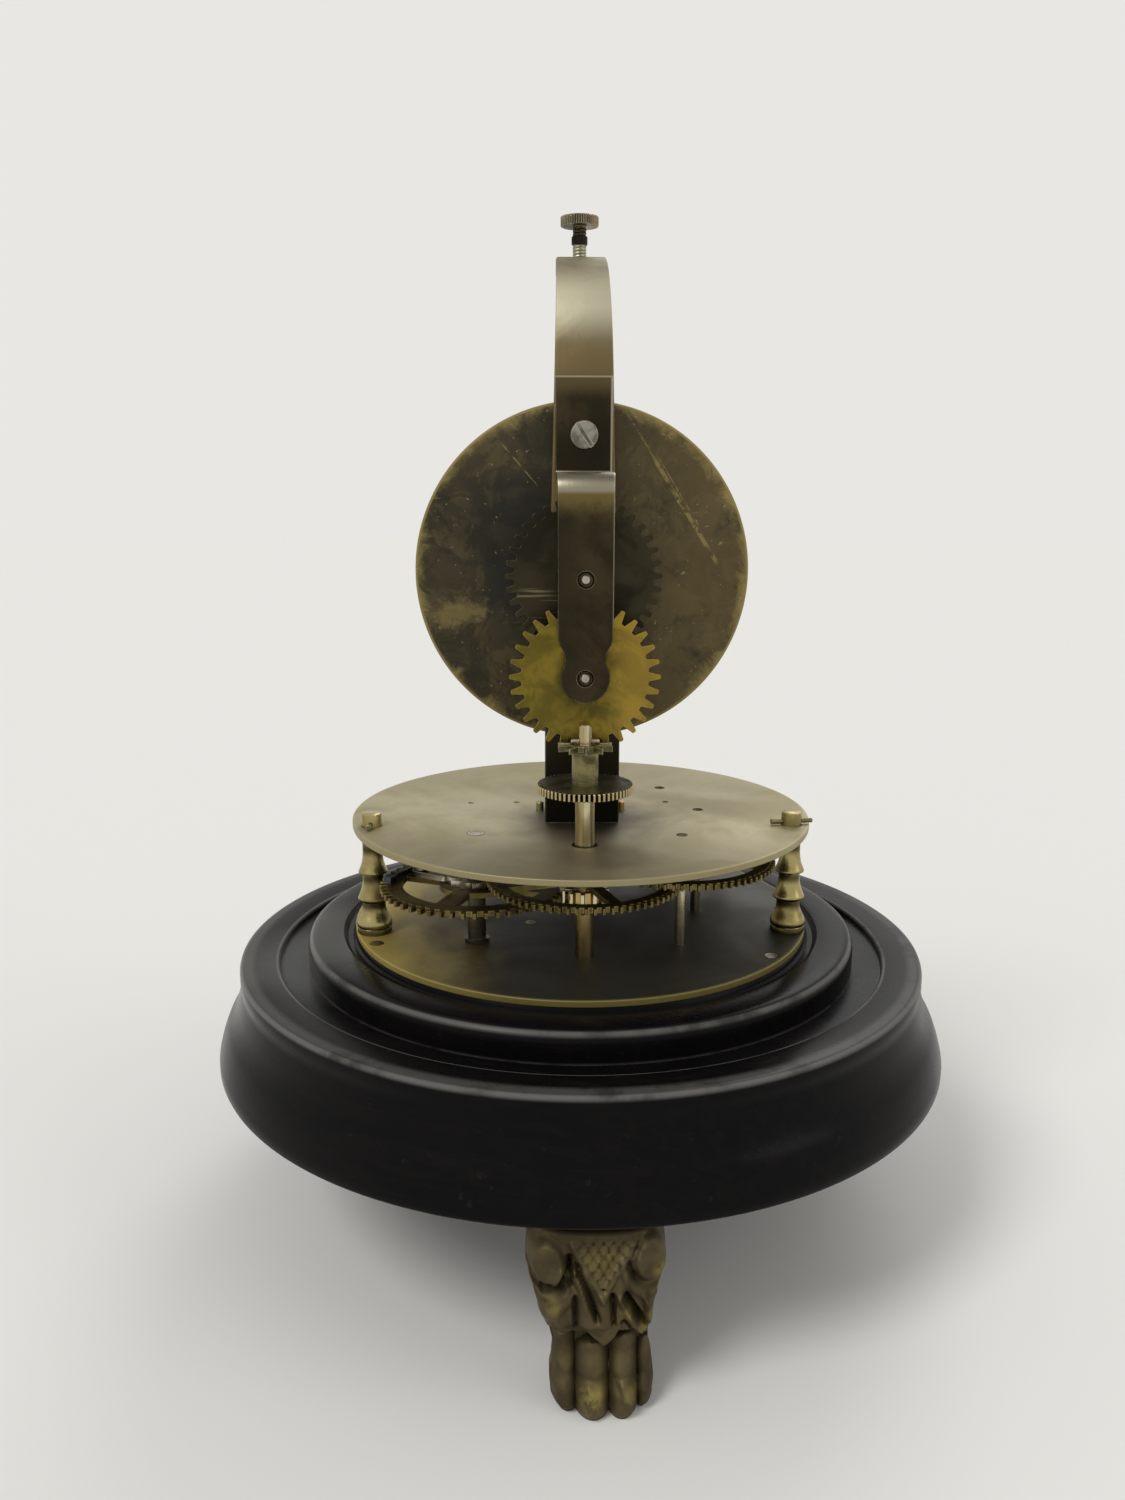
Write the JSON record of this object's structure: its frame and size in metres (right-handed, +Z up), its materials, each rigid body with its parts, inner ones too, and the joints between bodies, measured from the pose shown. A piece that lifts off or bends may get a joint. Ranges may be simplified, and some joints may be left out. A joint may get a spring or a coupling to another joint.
{
  "type": "rotary pendulum clock",
  "caption": "Open clockwork on a round wooden base with cast feet: geared plates, a dial on a swan-neck arm and a pendulum that a crank swings in a circle",
  "frame": {"origin": "on the wooden base's axis, at the level of the feet's soles", "axes": "+Z up along the base's axis; the dial faces +Y and the open gearing at the clock's back faces -Y"},
  "size_m": [0.165, 0.165, 0.2247],
  "materials": {
    "wood": "dark stained, worn satin",
    "brass": "aged, dull",
    "pale_brass": "aged, pale, spotted",
    "dark_brass": "dark patina",
    "bronze": "cast, dark with worn high spots",
    "steel": "bright, slightly tarnished",
    "dark_steel": "browned",
    "arm_metal": "grey-brown patina",
    "spring_steel": "blued",
    "paper": "printed dial paper"
  },
  "bodies": {
    "frame": {"wood_base": "wood", "foot_rear": "bronze", "foot_left": "bronze", "foot_right": "bronze", "foot_screw_rear": "steel", "foot_screw_left": "steel", "foot_screw_right": "steel", "lower_plate": "brass", "upper_plate": "pale_brass", "pillar_left": "brass", "pillar_right": "brass", "pillar_front": "brass", "pillar_pin_left": "pale_brass", "pillar_pin_right": "pale_brass", "pillar_pin_front": "pale_brass", "base_screw_1": "steel", "base_screw_2": "steel", "base_screw_3": "steel", "mainspring": "spring_steel", "spring_post": "brass", "arm": "arm_metal", "arm_screw": "steel", "steady_pin_left": "pale_brass", "steady_pin_right": "pale_brass", "rear_cock": "dark_steel", "cock_screw": "steel", "dial_plate": "dark_brass", "dial_face": "paper", "dial_screw_1": "steel", "dial_screw_2": "steel"},
    "great": {"great_wheel": "brass", "click_screw": "steel", "click_spring": "spring_steel"},
    "click": {"click": "steel"},
    "winding": {"winding_arbor": "steel", "ratchet_wheel": "steel"},
    "hour_train": {"hour_arbor": "steel", "hour_wheel": "brass", "star_pin": "steel"},
    "third": {"third_arbor": "steel", "third_wheel": "brass"},
    "fourth": {"fourth_arbor": "steel", "fourth_wheel": "brass"},
    "fifth": {"fifth_arbor": "steel", "fifth_wheel": "brass"},
    "crank": {"crank_arbor": "steel", "crank": "brass"},
    "pendulum": {"pendulum_bob": "brass", "suspension_wire": "steel"},
    "setting": {"set_wheel": "brass", "star_pinion": "pale_brass"},
    "motion": {"motion_arbor": "steel", "minute_wheel": "brass"},
    "minute": {"minute_arbor": "steel", "minute_hand": "spring_steel", "hand_nut": "brass"},
    "hour_hand": {"hour_hand_wheel": "dark_brass", "hour_hand": "spring_steel"},
    "regulator": {"thumb_screw": "brass", "lock_nut": "dark_steel"}
  },
  "joints": [
    {"name": "pendulum_turn", "type": "hinge", "parent": "frame", "child": "pendulum", "pos_m": [0, 0.024, 0.208], "axis": [0, 0, 1], "continuous": true},
    {"name": "crank_turn", "type": "hinge", "parent": "frame", "child": "crank", "pos_m": [0, 0.024, 0.092], "axis": [0, 0, 1], "continuous": true},
    {"name": "fifth_turn", "type": "hinge", "parent": "frame", "child": "fifth", "pos_m": [0.0202, 0.021, 0.092], "axis": [0, 0, 1], "continuous": true},
    {"name": "fourth_turn", "type": "hinge", "parent": "frame", "child": "fourth", "pos_m": [0.027, 0, 0.092], "axis": [0, 0, 1], "continuous": true},
    {"name": "third_turn", "type": "hinge", "parent": "frame", "child": "third", "pos_m": [0.021, -0.0208, 0.092], "axis": [0, 0, 1], "continuous": true},
    {"name": "hour_turn", "type": "hinge", "parent": "frame", "child": "hour_train", "pos_m": [0, -0.028, 0.092], "axis": [0, 0, 1], "continuous": true},
    {"name": "great_turn", "type": "hinge", "parent": "frame", "child": "great", "pos_m": [-0.023, -0.019, 0.092], "axis": [0, 0, 1], "continuous": true},
    {"name": "winding_turn", "type": "hinge", "parent": "great", "child": "winding", "pos_m": [-0.023, -0.019, 0.092], "axis": [0, 0, 1], "range_deg": [0, 23]},
    {"name": "click_lift", "type": "hinge", "parent": "great", "child": "click", "pos_m": [-0.03532, -0.01418, 0.092], "axis": [0, 0, 1], "range_deg": [-9.2, 0]},
    {"name": "set_turn", "type": "hinge", "parent": "frame", "child": "setting", "pos_m": [0, -0.028, 0.092], "axis": [0, 0, 1], "continuous": true},
    {"name": "motion_turn", "type": "hinge", "parent": "frame", "child": "motion", "pos_m": [0, 0, 0.1265], "axis": [0, 1, 0], "continuous": true},
    {"name": "minute_turn", "type": "hinge", "parent": "frame", "child": "minute", "pos_m": [0, 0, 0.1463], "axis": [0, 1, 0], "continuous": true},
    {"name": "hour_hand_turn", "type": "hinge", "parent": "frame", "child": "hour_hand", "pos_m": [0, 0, 0.1463], "axis": [0, 1, 0], "continuous": true},
    {"name": "regulator_turn", "type": "hinge", "parent": "frame", "child": "regulator", "pos_m": [0, 0.024, 0.222], "axis": [0, 0, 1], "continuous": true}
  ],
  "couplings": [
    {"joint": "crank_turn", "follows": "pendulum_turn", "ratio": 1},
    {"joint": "fifth_turn", "follows": "pendulum_turn", "ratio": -0.125},
    {"joint": "fourth_turn", "follows": "pendulum_turn", "ratio": 0.014286},
    {"joint": "third_turn", "follows": "pendulum_turn", "ratio": -0.0015873},
    {"joint": "hour_turn", "follows": "pendulum_turn", "ratio": 0.00017637},
    {"joint": "great_turn", "follows": "pendulum_turn", "ratio": -0.000039193},
    {"joint": "click_lift", "follows": "winding_turn", "ratio": -0.4},
    {"joint": "motion_turn", "follows": "set_turn", "ratio": 0.33333},
    {"joint": "minute_turn", "follows": "set_turn", "ratio": -1},
    {"joint": "hour_hand_turn", "follows": "set_turn", "ratio": -0.083333}
  ]
}
